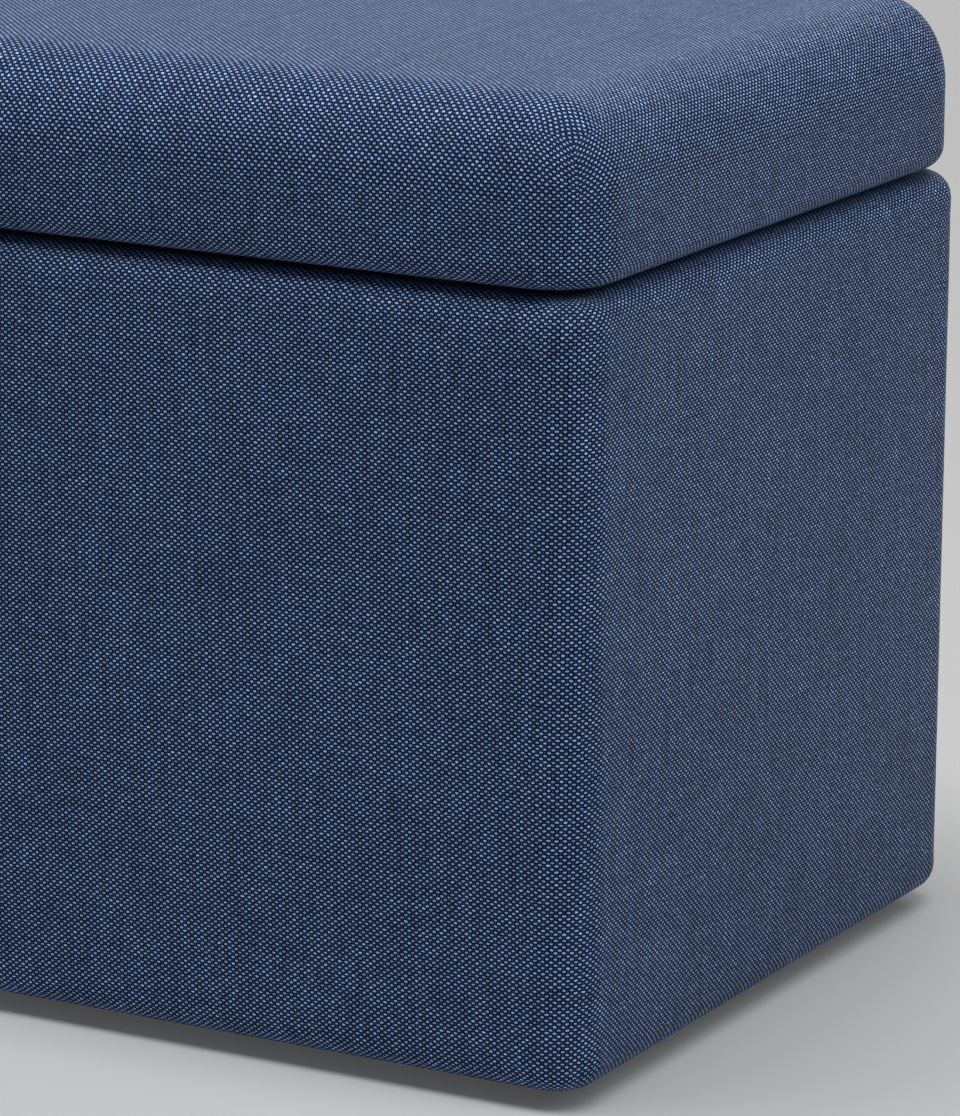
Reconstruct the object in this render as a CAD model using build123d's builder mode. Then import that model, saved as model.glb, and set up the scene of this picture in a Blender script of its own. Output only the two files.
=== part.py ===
from build123d import *
from math import atan2, degrees
import os

# Upholstered storage bench: a padded box on low glides and a cushioned lid
# that opens on butt hinges and is steadied by two folding stays.
# Millimetres. +Z up, the front faces -Y, the length runs along X.
# The origin is on the floor, under the middle of the bench.

os.makedirs("parts", exist_ok=True)

# ---------------------------------------------------------------- driving sizes

# Overall
bench_length = 760.0
bench_depth = 400.0
base_height = 365.0
lid_height = 84.0
rim_gap = 3.0

# Upholstery
cover_thickness = 1.0
side_padding = 12.0
lid_bottom_radius = 11.0
lid_inset = 0.5
roll_step = 1.0
turn_under = 35.0
turn_down = 30.0
lining_thickness = 1.0
soft_clearance = 0.2

# Boards and their joints
board_thickness = 15.0
board_corner = 10.0
floor_thickness = 12.0
lid_board_thickness = 15.0
lid_board_corner = 22.0
corner_screw_count = 3
corner_screw_inset = 45.0
dowel_radius = 4.0
dowel_length = 30.0
dowel_face_depth = 11.0
dowel_inset = 90.0
floor_screw_pitch = 200.0
joint_fit = 0.05

# Wood screws: head radius, head height, shank radius, length
board_screw = (3.6, 2.8, 1.75, 38.0)
leaf_screw = (2.6, 1.2, 1.4, 13.0)
plate_screw = (2.8, 1.3, 1.5, 12.0)
glide_screw = (3.6, 2.2, 1.75, 14.0)

# Screws and dowels repeat often, so they and their holes are drawn with few faces.
fastener_sides = 8

# Glides
glide_height = 8.0
glide_foot_radius = 11.0
glide_top_radius = 14.0
glide_inset = 60.0
glide_recess_radius = 4.5
glide_recess_depth = 4.0
glide_foot_bevel = 1.2

# Hinges
hinge_spacing = 260.0
hinge_count = 3
hinge_width = 60.0
leaf_thickness = 1.3
leaf_reach = 24.0
leaf_corner = 3.0
knuckle_count = 5
knuckle_radius = 3.0
knuckle_gap = 0.3
pin_radius = 1.5
pin_fit = 0.05
leaf_relief = 0.4
leaf_screw_pitch = 20.0

# Folding stays
opening_angle = 95.0
stay_arm_width = 14.0
stay_arm_thickness = 2.0
stay_plate_thickness = 1.5
stay_layer_gap = 0.4
stay_reach = 120.0
stay_drop = 117.0
stay_hang = 8.0
stay_rear_clearance = 4.5
stay_plate_width = 18.0
stay_plate_height = 54.0
stay_foot_width = 18.0
stay_foot_length = 40.0
stay_bend_radius = 1.2
rivet_radius = 2.5
rivet_head_radius = 4.5
rivet_head_height = 1.1
rivet_crown_radius = 3.4
rivet_seat_gap = 0.1
rivet_fit = 0.05
open_pivot_fit = 0.3

# Lid bumpers
bumper_radius = 5.0
bumper_clearance = 0.3
bumper_front_inset = 80.0
bumper_side_place = 60.0

# -------------------------------------------------------------- derived levels

base_bottom = glide_height
rim_level = base_bottom + base_height
lid_bottom = rim_level + rim_gap
lid_top = lid_bottom + lid_height
panel_bottom = base_bottom + cover_thickness
panel_top = rim_level - cover_thickness
panel_height = panel_top - panel_bottom
floor_top = panel_bottom + floor_thickness

# -------------------------------------------------------------- derived plan

panel_outer_x = bench_length / 2 - cover_thickness - side_padding
panel_outer_y = bench_depth / 2 - cover_thickness - side_padding
panel_inner_x = panel_outer_x - board_thickness
panel_inner_y = panel_outer_y - board_thickness
panel_middle_x = panel_outer_x - board_thickness / 2
panel_middle_y = panel_outer_y - board_thickness / 2
rim_radius = side_padding + cover_thickness
base_corner_radius = rim_radius + board_corner

lid_length = bench_length - 2 * lid_inset
lid_depth = bench_depth - 2 * lid_inset
lid_board_inset = lid_bottom_radius + roll_step
lid_corner_radius = lid_board_inset + lid_board_corner
lid_top_radius = lid_corner_radius - roll_step
lid_board_bottom = lid_bottom + cover_thickness
lid_board_top = lid_board_bottom + lid_board_thickness


# --------------------------------------------------------------------- helpers

def rounded_block(length, depth, corner_radius, bottom, top, bottom_radius, top_radius):
    """A block with rounded upright corners and rolled top and bottom edges."""
    with BuildPart() as block:
        with BuildSketch(Plane.XY.offset(bottom)):
            RectangleRounded(length, depth, corner_radius)
        extrude(amount=top - bottom)
        fillet(block.edges().group_by(Axis.Z)[-1], radius=top_radius)
        fillet(block.edges().group_by(Axis.Z)[0], radius=bottom_radius)
    return block.part


def base_form(inset):
    """The base's upholstered form, drawn in by an inset on every side."""
    return rounded_block(
        bench_length - 2 * inset,
        bench_depth - 2 * inset,
        base_corner_radius - inset,
        base_bottom + inset,
        rim_level - inset,
        rim_radius - inset,
        rim_radius - inset,
    )


def lid_form(inset):
    """The lid's upholstered form, drawn in by an inset on every side."""
    return rounded_block(
        lid_length - 2 * inset,
        lid_depth - 2 * inset,
        lid_corner_radius - inset,
        lid_bottom + inset,
        lid_top - inset,
        lid_bottom_radius - inset,
        lid_top_radius - inset,
    )


def wood_screw(size, clearance=0.0):
    """A countersunk screw down -Z, its head flush with Z = 0, or its hole."""
    head_radius, head_height, shank_radius, length = size
    with BuildPart() as screw:
        with BuildSketch(Plane.XY):
            RegularPolygon(head_radius + clearance, fastener_sides)
        with BuildSketch(Plane.XY.offset(-head_height)):
            RegularPolygon(shank_radius + clearance, fastener_sides)
        loft(ruled=True)
        with BuildSketch(Plane.XY.offset(-head_height)):
            RegularPolygon(shank_radius + clearance, fastener_sides)
        extrude(amount=head_height - length - clearance)
    return screw.part


def pan_screw(size, clearance=0.0):
    """A screw down -Z whose head stands on Z = 0, or the hole for its shank."""
    head_radius, head_height, shank_radius, length = size
    with BuildPart() as screw:
        with BuildSketch(Plane.XY):
            RegularPolygon(shank_radius + clearance, fastener_sides)
        extrude(amount=-length - clearance)
        with BuildSketch(Plane.XY):
            RegularPolygon(head_radius + clearance, fastener_sides)
        extrude(amount=head_height + clearance)
    return screw.part


def outward(x, y, z, direction):
    """A plane on a surface, its normal pointing out of the wood."""
    return Plane(origin=(x, y, z), z_dir=direction)


# ------------------------------------------------------- places of the fasteners

corner_screw_span = panel_height - 2 * corner_screw_inset
corner_screw_levels = [
    panel_bottom + corner_screw_inset + corner_screw_span * step / (corner_screw_count - 1)
    for step in range(corner_screw_count)
]
dowel_levels = [panel_bottom + dowel_inset, panel_top - dowel_inset]
floor_screw_level = panel_bottom + floor_thickness / 2

corner_screw_planes = [
    outward(side * panel_middle_x, end * panel_outer_y, level, (0, end, 0))
    for side in (-1, 1)
    for end in (-1, 1)
    for level in corner_screw_levels
]
dowel_planes = [
    outward(side * panel_middle_x, end * (panel_inner_y + dowel_face_depth), level, (0, end, 0))
    for side in (-1, 1)
    for end in (-1, 1)
    for level in dowel_levels
]
floor_screw_planes = [
    outward(step * floor_screw_pitch, end * panel_outer_y, floor_screw_level, (0, end, 0))
    for step in (-1, 0, 1)
    for end in (-1, 1)
] + [
    outward(side * panel_outer_x, 0, floor_screw_level, (side, 0, 0))
    for side in (-1, 1)
]

glide_x = bench_length / 2 - glide_inset
glide_y = bench_depth / 2 - glide_inset
glide_spots = [(side * glide_x, end * glide_y) for side in (-1, 1) for end in (-1, 1)]
glide_screw_planes = [outward(x, y, glide_recess_depth, (0, 0, -1)) for x, y in glide_spots]

# Hinge axis: half-way up the joint, the knuckle flush with the back of the bench.
hinge_y = bench_depth / 2 - knuckle_radius
hinge_z = rim_level + rim_gap / 2
hinge_places = [(step - (hinge_count - 1) / 2) * hinge_spacing for step in range(hinge_count)]
leaf_screw_places = [
    place + step * leaf_screw_pitch for place in hinge_places for step in (-1, 0, 1)
]
base_leaf_top = rim_level + leaf_thickness
lid_leaf_bottom = lid_bottom - leaf_thickness
base_leaf_screw_planes = [
    outward(place, panel_middle_y, base_leaf_top, (0, 0, 1)) for place in leaf_screw_places
]
lid_leaf_screw_planes = [
    outward(place, panel_middle_y, lid_leaf_bottom, (0, 0, -1)) for place in leaf_screw_places
]

# Stay layers, from the side wall inwards, on the right-hand side.
lining_face_x = panel_inner_x - lining_thickness
stay_plate_x = lining_face_x - stay_plate_thickness
lower_arm_x = stay_plate_x - stay_layer_gap
upper_arm_x = lower_arm_x - stay_arm_thickness - stay_layer_gap
stay_flange_x = upper_arm_x - stay_arm_thickness - stay_layer_gap

# Stay pivots. The lower arm is as long as the lid's own arm and the upper arm
# as long as the line from the base pivot to the hinge, so the four pivots keep
# a parallelogram at every opening angle.
base_pivot_y = panel_inner_y - cover_thickness - stay_rear_clearance - stay_arm_width / 2
base_pivot_z = hinge_z - stay_drop
lid_pivot_y = hinge_y - stay_reach
lid_pivot_z = hinge_z - stay_hang
elbow_y = base_pivot_y - stay_reach
elbow_z = base_pivot_z - stay_hang

stay_plate_screw_rise = stay_plate_height / 2 - stay_plate_width / 2
stay_plate_screw_planes = [
    outward(side * stay_plate_x, base_pivot_y, base_pivot_z + rise * stay_plate_screw_rise, (-side, 0, 0))
    for side in (-1, 1)
    for rise in (-1, 1)
]
stay_foot_bottom = lid_bottom - stay_plate_thickness
stay_foot_screw_y = stay_foot_length / 2 - stay_foot_width / 2
stay_foot_middle_x = stay_flange_x - stay_plate_thickness - stay_foot_width / 2
stay_foot_screw_planes = [
    outward(side * stay_foot_middle_x, lid_pivot_y + end * stay_foot_screw_y, stay_foot_bottom, (0, 0, -1))
    for side in (-1, 1)
    for end in (-1, 1)
]

board_screw_hole = wood_screw(board_screw, joint_fit)
leaf_screw_hole = wood_screw(leaf_screw, joint_fit)
plate_screw_hole = wood_screw(plate_screw, joint_fit)

glide_screw_hole = pan_screw(glide_screw, joint_fit)

with BuildPart() as dowel_hole:
    with BuildSketch(Plane.XY.offset(joint_fit)):
        RegularPolygon(dowel_radius + joint_fit, fastener_sides)
    extrude(amount=-dowel_length - 2 * joint_fit)

# ------------------------------------------------------------------ box carcass

with BuildPart() as bottom_panel:
    with BuildSketch(Plane.XY.offset(panel_bottom)):
        Rectangle(2 * panel_inner_x, 2 * panel_inner_y)
    extrude(amount=floor_thickness)
    with Locations(*floor_screw_planes):
        add(board_screw_hole, mode=Mode.SUBTRACT)
    with Locations(*glide_screw_planes):
        add(glide_screw_hole, mode=Mode.SUBTRACT)
bottom_panel.part.label = "bottom_panel"
export_step(bottom_panel.part, "parts/bottom_panel.step")

with BuildPart() as front_panel:
    with BuildSketch(Plane.XY.offset(panel_bottom)):
        with Locations((0, -panel_middle_y)):
            Rectangle(2 * panel_outer_x, board_thickness)
    extrude(amount=panel_height)
    outer_corners = front_panel.edges().filter_by(Axis.Z).group_by(Axis.Y)[0]
    fillet(outer_corners, radius=board_corner)
    with Locations(*corner_screw_planes, *floor_screw_planes):
        add(board_screw_hole, mode=Mode.SUBTRACT)
    with Locations(*dowel_planes):
        add(dowel_hole.part, mode=Mode.SUBTRACT)
front_panel.part.label = "front_panel"
export_step(front_panel.part, "parts/front_panel.step")

with BuildPart() as back_panel:
    with BuildSketch(Plane.XY.offset(panel_bottom)):
        with Locations((0, panel_middle_y)):
            Rectangle(2 * panel_outer_x, board_thickness)
    extrude(amount=panel_height)
    outer_corners = back_panel.edges().filter_by(Axis.Z).group_by(Axis.Y)[-1]
    fillet(outer_corners, radius=board_corner)
    with Locations(*corner_screw_planes, *floor_screw_planes):
        add(board_screw_hole, mode=Mode.SUBTRACT)
    with Locations(*dowel_planes):
        add(dowel_hole.part, mode=Mode.SUBTRACT)
    with Locations(*base_leaf_screw_planes):
        add(leaf_screw_hole, mode=Mode.SUBTRACT)
back_panel.part.label = "back_panel"
export_step(back_panel.part, "parts/back_panel.step")

with BuildPart() as right_panel:
    with BuildSketch(Plane.XY.offset(panel_bottom)):
        with Locations((panel_middle_x, 0)):
            Rectangle(board_thickness, 2 * panel_inner_y)
    extrude(amount=panel_height)
    with Locations(*corner_screw_planes, *floor_screw_planes):
        add(board_screw_hole, mode=Mode.SUBTRACT)
    with Locations(*dowel_planes):
        add(dowel_hole.part, mode=Mode.SUBTRACT)
    with Locations(*stay_plate_screw_planes):
        add(plate_screw_hole, mode=Mode.SUBTRACT)
right_panel.part.label = "right_panel"
export_step(right_panel.part, "parts/right_panel.step")

with BuildPart() as left_panel:
    mirror(right_panel.part, about=Plane.YZ)
left_panel.part.label = "left_panel"
export_step(left_panel.part, "parts/left_panel.step")

with BuildPart() as panel_dowels:
    with BuildSketch(*dowel_planes):
        RegularPolygon(dowel_radius, fastener_sides)
    extrude(amount=-dowel_length)
panel_dowels.part.label = "panel_dowels"
export_step(panel_dowels.part, "parts/panel_dowels.step")

board_screw_body = wood_screw(board_screw)

with BuildPart() as corner_screws:
    with Locations(*corner_screw_planes):
        add(board_screw_body)
corner_screws.part.label = "corner_screws"
export_step(corner_screws.part, "parts/corner_screws.step")

with BuildPart() as floor_screws:
    with Locations(*floor_screw_planes):
        add(board_screw_body)
floor_screws.part.label = "floor_screws"
export_step(floor_screws.part, "parts/floor_screws.step")

# -------------------------------------------------------------- base upholstery

padding_form = base_form(cover_thickness + soft_clearance)

# Each pad ends in a mitre that runs from the board's corner out to the cover.
with BuildPart() as front_padding:
    add(padding_form)
    with BuildSketch(Plane.XY.offset(base_bottom)):
        with BuildLine():
            Polyline(
                (-panel_outer_x, -panel_outer_y),
                (panel_outer_x, -panel_outer_y),
                (panel_outer_x + rim_radius, -panel_outer_y - rim_radius),
                (-panel_outer_x - rim_radius, -panel_outer_y - rim_radius),
                close=True,
            )
        make_face()
    extrude(amount=base_height, mode=Mode.INTERSECT)
front_padding.part.label = "front_padding"
export_step(front_padding.part, "parts/front_padding.step")

with BuildPart() as back_padding:
    mirror(front_padding.part, about=Plane.XZ)
back_padding.part.label = "back_padding"
export_step(back_padding.part, "parts/back_padding.step")

with BuildPart() as right_padding:
    add(padding_form)
    with BuildSketch(Plane.XY.offset(base_bottom)):
        with BuildLine():
            Polyline(
                (panel_outer_x, -panel_outer_y),
                (panel_outer_x, panel_outer_y),
                (panel_outer_x + rim_radius, panel_outer_y + rim_radius),
                (panel_outer_x + rim_radius, -panel_outer_y - rim_radius),
                close=True,
            )
        make_face()
    extrude(amount=base_height, mode=Mode.INTERSECT)
right_padding.part.label = "right_padding"
export_step(right_padding.part, "parts/right_padding.step")

with BuildPart() as left_padding:
    mirror(right_padding.part, about=Plane.YZ)
left_padding.part.label = "left_padding"
export_step(left_padding.part, "parts/left_padding.step")

base_outer_form = base_form(0)
base_inner_form = base_form(cover_thickness)
under_length = bench_length - 2 * (rim_radius + turn_under)
under_depth = bench_depth - 2 * (rim_radius + turn_under)
turn_down_bottom = panel_top - turn_down

# The cover wraps the box, turns down inside the rim and turns under the bottom.
with BuildPart() as base_cover:
    add(base_outer_form)
    add(base_inner_form, mode=Mode.SUBTRACT)
    with BuildSketch(Plane.XY.offset(base_bottom)):
        Rectangle(under_length, under_depth)
    extrude(amount=cover_thickness, mode=Mode.SUBTRACT)
    with BuildSketch(Plane.XY.offset(turn_down_bottom)):
        Rectangle(2 * panel_inner_x, 2 * panel_inner_y)
    extrude(amount=turn_down)
    with BuildSketch(Plane.XY.offset(turn_down_bottom)):
        Rectangle(
            2 * (panel_inner_x - cover_thickness),
            2 * (panel_inner_y - cover_thickness),
        )
    extrude(amount=turn_down + cover_thickness, mode=Mode.SUBTRACT)
    with Locations(*base_leaf_screw_planes):
        add(leaf_screw_hole, mode=Mode.SUBTRACT)
base_cover.part.label = "base_cover"
export_step(base_cover.part, "parts/base_cover.step")

with BuildPart() as compartment_lining:
    with BuildSketch(Plane.XY.offset(floor_top)):
        Rectangle(2 * panel_inner_x, 2 * panel_inner_y)
    extrude(amount=turn_down_bottom - floor_top)
    with BuildSketch(Plane.XY.offset(floor_top + lining_thickness)):
        Rectangle(
            2 * (panel_inner_x - lining_thickness),
            2 * (panel_inner_y - lining_thickness),
        )
    extrude(amount=turn_down_bottom - floor_top - lining_thickness, mode=Mode.SUBTRACT)
    with Locations(*stay_plate_screw_planes):
        add(plate_screw_hole, mode=Mode.SUBTRACT)
compartment_lining.part.label = "compartment_lining"
export_step(compartment_lining.part, "parts/compartment_lining.step")

with BuildPart() as dust_cover:
    with BuildSketch(Plane.XY.offset(base_bottom)):
        Rectangle(under_length, under_depth)
    extrude(amount=cover_thickness)
    with Locations(*glide_screw_planes):
        add(glide_screw_hole, mode=Mode.SUBTRACT)
dust_cover.part.label = "dust_cover"
export_step(dust_cover.part, "parts/dust_cover.step")

# ----------------------------------------------------------------------- glides

with BuildPart() as glide:
    with BuildSketch(Plane.XZ):
        with BuildLine():
            Polyline(
                (0, glide_recess_depth),
                (glide_recess_radius, glide_recess_depth),
                (glide_recess_radius, 0),
                (glide_foot_radius - glide_foot_bevel, 0),
                (glide_foot_radius, glide_foot_bevel),
                (glide_top_radius, glide_height),
                (0, glide_height),
                close=True,
            )
        make_face()
    revolve(axis=Axis.Z)

with BuildPart() as glides:
    with Locations(*glide_spots):
        add(glide.part)
    with Locations(*glide_screw_planes):
        add(glide_screw_hole, mode=Mode.SUBTRACT)
glides.part.label = "glides"
export_step(glides.part, "parts/glides.step")

glide_screw_body = pan_screw(glide_screw)

with BuildPart() as glide_screws:
    with Locations(*glide_screw_planes):
        add(glide_screw_body)
glide_screws.part.label = "glide_screws"
export_step(glide_screws.part, "parts/glide_screws.step")

# ----------------------------------------------------------------------- hinges

knuckle_pitch = hinge_width / knuckle_count
leaf_edge_y = hinge_y - knuckle_radius - leaf_relief
leaf_inner_y = hinge_y - leaf_reach
leaf_width = leaf_edge_y - leaf_inner_y
leaf_middle_y = (leaf_edge_y + leaf_inner_y) / 2


def hinge_leaf(plate_bottom, owned_knuckles):
    """A leaf round X = 0: its plate, and a tongue and a barrel per knuckle."""
    with BuildPart() as leaf:
        with BuildSketch(Plane.XY.offset(plate_bottom)):
            with Locations((0, leaf_middle_y)):
                Rectangle(hinge_width, leaf_width)
        extrude(amount=leaf_thickness)
        inner_corners = leaf.edges().filter_by(Axis.Z).group_by(Axis.Y)[0]
        fillet(inner_corners, radius=leaf_corner)
        for knuckle in owned_knuckles:
            knuckle_x = (knuckle - (knuckle_count - 1) / 2) * knuckle_pitch
            with BuildSketch(Plane.XY.offset(plate_bottom)):
                with Locations((knuckle_x, (leaf_edge_y + hinge_y) / 2)):
                    Rectangle(knuckle_pitch - knuckle_gap, hinge_y - leaf_edge_y)
            extrude(amount=leaf_thickness)
            barrel_start = knuckle_x - (knuckle_pitch - knuckle_gap) / 2
            with BuildSketch(Plane(origin=(barrel_start, hinge_y, hinge_z), z_dir=(1, 0, 0))):
                Circle(knuckle_radius)
            extrude(amount=knuckle_pitch - knuckle_gap)
        with BuildSketch(Plane(origin=(-hinge_width / 2, hinge_y, hinge_z), z_dir=(1, 0, 0))):
            Circle(pin_radius + pin_fit)
        extrude(amount=hinge_width, mode=Mode.SUBTRACT)
    return leaf.part


base_leaf = hinge_leaf(rim_level, range(0, knuckle_count, 2))
lid_leaf = hinge_leaf(lid_leaf_bottom, range(1, knuckle_count, 2))
hinge_spots = [(place, 0, 0) for place in hinge_places]

with BuildPart() as hinge_base_leaves:
    with Locations(*hinge_spots):
        add(base_leaf)
    with Locations(*base_leaf_screw_planes):
        add(leaf_screw_hole, mode=Mode.SUBTRACT)
hinge_base_leaves.part.label = "hinge_base_leaves"
export_step(hinge_base_leaves.part, "parts/hinge_base_leaves.step")

with BuildPart() as hinge_lid_leaves:
    with Locations(*hinge_spots):
        add(lid_leaf)
    with Locations(*lid_leaf_screw_planes):
        add(leaf_screw_hole, mode=Mode.SUBTRACT)
hinge_lid_leaves.part.label = "hinge_lid_leaves"
export_step(hinge_lid_leaves.part, "parts/hinge_lid_leaves.step")

with BuildPart() as hinge_pins:
    for place in hinge_places:
        with BuildSketch(Plane(origin=(place - hinge_width / 2, hinge_y, hinge_z), z_dir=(1, 0, 0))):
            Circle(pin_radius)
        extrude(amount=hinge_width)
hinge_pins.part.label = "hinge_pins"
export_step(hinge_pins.part, "parts/hinge_pins.step")

leaf_screw_body = wood_screw(leaf_screw)

with BuildPart() as hinge_base_screws:
    with Locations(*base_leaf_screw_planes):
        add(leaf_screw_body)
hinge_base_screws.part.label = "hinge_base_screws"
export_step(hinge_base_screws.part, "parts/hinge_base_screws.step")

with BuildPart() as hinge_lid_screws:
    with Locations(*lid_leaf_screw_planes):
        add(leaf_screw_body)
hinge_lid_screws.part.label = "hinge_lid_screws"
export_step(hinge_lid_screws.part, "parts/hinge_lid_screws.step")

# -------------------------------------------------------------------------- lid

with BuildPart() as lid_board:
    with BuildSketch(Plane.XY.offset(lid_board_bottom)):
        RectangleRounded(
            lid_length - 2 * lid_board_inset,
            lid_depth - 2 * lid_board_inset,
            lid_board_corner,
        )
    extrude(amount=lid_board_thickness)
    with Locations(*lid_leaf_screw_planes):
        add(leaf_screw_hole, mode=Mode.SUBTRACT)
    with Locations(*stay_foot_screw_planes):
        add(plate_screw_hole, mode=Mode.SUBTRACT)
lid_board.part.label = "lid_board"
export_step(lid_board.part, "parts/lid_board.step")

lid_foam_form = lid_form(cover_thickness + soft_clearance)

# The foam sits on the board and laps over its edges down to the lid's underside.
with BuildPart() as lid_cushion:
    add(lid_foam_form)
    with BuildSketch(Plane.XY.offset(lid_bottom)):
        RectangleRounded(
            lid_length - 2 * (lid_board_inset - soft_clearance),
            lid_depth - 2 * (lid_board_inset - soft_clearance),
            lid_board_corner + soft_clearance,
        )
    extrude(amount=lid_board_top - lid_bottom, mode=Mode.SUBTRACT)
lid_cushion.part.label = "lid_cushion"
export_step(lid_cushion.part, "parts/lid_cushion.step")

lid_outer_form = lid_form(0)
lid_inner_form = lid_form(cover_thickness)
lid_lining_length = lid_length - 2 * (lid_bottom_radius + turn_under)
lid_lining_depth = lid_depth - 2 * (lid_bottom_radius + turn_under)

with BuildPart() as lid_cover:
    add(lid_outer_form)
    add(lid_inner_form, mode=Mode.SUBTRACT)
    with BuildSketch(Plane.XY.offset(lid_bottom)):
        Rectangle(lid_lining_length, lid_lining_depth)
    extrude(amount=cover_thickness, mode=Mode.SUBTRACT)
    with Locations(*lid_leaf_screw_planes):
        add(leaf_screw_hole, mode=Mode.SUBTRACT)
    with Locations(*stay_foot_screw_planes):
        add(plate_screw_hole, mode=Mode.SUBTRACT)
lid_cover.part.label = "lid_cover"
export_step(lid_cover.part, "parts/lid_cover.step")

with BuildPart() as lid_lining:
    with BuildSketch(Plane.XY.offset(lid_bottom)):
        Rectangle(lid_lining_length, lid_lining_depth)
    extrude(amount=cover_thickness)
    with Locations(*lid_leaf_screw_planes):
        add(leaf_screw_hole, mode=Mode.SUBTRACT)
    with Locations(*stay_foot_screw_planes):
        add(plate_screw_hole, mode=Mode.SUBTRACT)
lid_lining.part.label = "lid_lining"
export_step(lid_lining.part, "parts/lid_lining.step")

bumper_spots = [
    (side * (bench_length / 2 - bumper_front_inset), -panel_middle_y) for side in (-1, 1)
] + [(side * panel_middle_x, bumper_side_place) for side in (-1, 1)]

with BuildPart() as lid_bumpers:
    with BuildSketch(Plane.XY.offset(rim_level + bumper_clearance)):
        with Locations(*bumper_spots):
            Circle(bumper_radius)
    extrude(amount=rim_gap - bumper_clearance)
lid_bumpers.part.label = "lid_bumpers"
export_step(lid_bumpers.part, "parts/lid_bumpers.step")

# ------------------------------------------------------------------------ stays


def right_side_plane(x, y, z):
    """An upright plane on the right-hand stay, its normal pointing inwards."""
    return Plane(origin=(x, y, z), x_dir=(0, -1, 0), z_dir=(-1, 0, 0))


def stay_arm(face_x, start, end, start_hole, end_hole):
    """A flat arm with round ends and a hole on each of its two pivots."""
    run = Vector(0, end[0] - start[0], end[1] - start[1])
    middle = Vector(face_x, (start[0] + end[0]) / 2, (start[1] + end[1]) / 2)
    with BuildPart() as arm:
        with BuildSketch(Plane(origin=middle, x_dir=run, z_dir=(-1, 0, 0))):
            SlotCenterToCenter(run.length, stay_arm_width)
            with Locations((-run.length / 2, 0)):
                Circle(start_hole, mode=Mode.SUBTRACT)
            with Locations((run.length / 2, 0)):
                Circle(end_hole, mode=Mode.SUBTRACT)
        extrude(amount=stay_arm_thickness)
    return arm.part


def rivet(y, z, shank_outer_x, shank_inner_x, outer_head, inner_head):
    """A rivet across the stay, with a head on the ends that are asked for."""
    with BuildPart() as body:
        with BuildSketch(right_side_plane(shank_outer_x, y, z)):
            Circle(rivet_radius)
        extrude(amount=shank_outer_x - shank_inner_x)
        if outer_head:
            with BuildSketch(right_side_plane(shank_outer_x, y, z)):
                Circle(rivet_head_radius)
            extrude(amount=-rivet_head_height, taper=rivet_head_taper)
        if inner_head:
            with BuildSketch(right_side_plane(shank_inner_x, y, z)):
                Circle(rivet_head_radius)
            extrude(amount=rivet_head_height, taper=rivet_head_taper)
    return body.part


rivet_head_taper = degrees(atan2(rivet_head_radius - rivet_crown_radius, rivet_head_height))
base_pivot = (base_pivot_y, base_pivot_z)
elbow_pivot = (elbow_y, elbow_z)
lid_pivot = (lid_pivot_y, lid_pivot_z)
running_hole = rivet_radius + rivet_fit
open_hole = rivet_radius + open_pivot_fit

right_lower_arm = stay_arm(lower_arm_x, base_pivot, elbow_pivot, running_hole, running_hole)
right_upper_arm = stay_arm(upper_arm_x, elbow_pivot, lid_pivot, running_hole, open_hole)
lower_arm_inner_x = lower_arm_x - stay_arm_thickness
upper_arm_inner_x = upper_arm_x - stay_arm_thickness

right_elbow_rivet = rivet(
    elbow_y,
    elbow_z,
    lower_arm_x + rivet_seat_gap,
    upper_arm_inner_x - rivet_seat_gap,
    True,
    True,
)
right_base_rivet = rivet(
    base_pivot_y, base_pivot_z, lining_face_x, lower_arm_inner_x - rivet_seat_gap, False, True
)
right_lid_rivet = rivet(
    lid_pivot_y,
    lid_pivot_z,
    upper_arm_x + rivet_seat_gap,
    stay_flange_x - stay_plate_thickness,
    True,
    True,
)

with BuildPart() as right_stay_lower_arm:
    add(right_lower_arm)
right_stay_lower_arm.part.label = "right_stay_lower_arm"
export_step(right_stay_lower_arm.part, "parts/right_stay_lower_arm.step")

with BuildPart() as left_stay_lower_arm:
    mirror(right_lower_arm, about=Plane.YZ)
left_stay_lower_arm.part.label = "left_stay_lower_arm"
export_step(left_stay_lower_arm.part, "parts/left_stay_lower_arm.step")

with BuildPart() as right_stay_upper_arm:
    add(right_upper_arm)
right_stay_upper_arm.part.label = "right_stay_upper_arm"
export_step(right_stay_upper_arm.part, "parts/right_stay_upper_arm.step")

with BuildPart() as left_stay_upper_arm:
    mirror(right_upper_arm, about=Plane.YZ)
left_stay_upper_arm.part.label = "left_stay_upper_arm"
export_step(left_stay_upper_arm.part, "parts/left_stay_upper_arm.step")

with BuildPart() as right_stay_elbow_rivet:
    add(right_elbow_rivet)
right_stay_elbow_rivet.part.label = "right_stay_elbow_rivet"
export_step(right_stay_elbow_rivet.part, "parts/right_stay_elbow_rivet.step")

with BuildPart() as left_stay_elbow_rivet:
    mirror(right_elbow_rivet, about=Plane.YZ)
left_stay_elbow_rivet.part.label = "left_stay_elbow_rivet"
export_step(left_stay_elbow_rivet.part, "parts/left_stay_elbow_rivet.step")

with BuildPart() as stay_base_rivets:
    add(right_base_rivet)
    mirror(right_base_rivet, about=Plane.YZ)
stay_base_rivets.part.label = "stay_base_rivets"
export_step(stay_base_rivets.part, "parts/stay_base_rivets.step")

with BuildPart() as stay_lid_rivets:
    add(right_lid_rivet)
    mirror(right_lid_rivet, about=Plane.YZ)
stay_lid_rivets.part.label = "stay_lid_rivets"
export_step(stay_lid_rivets.part, "parts/stay_lid_rivets.step")

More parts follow.
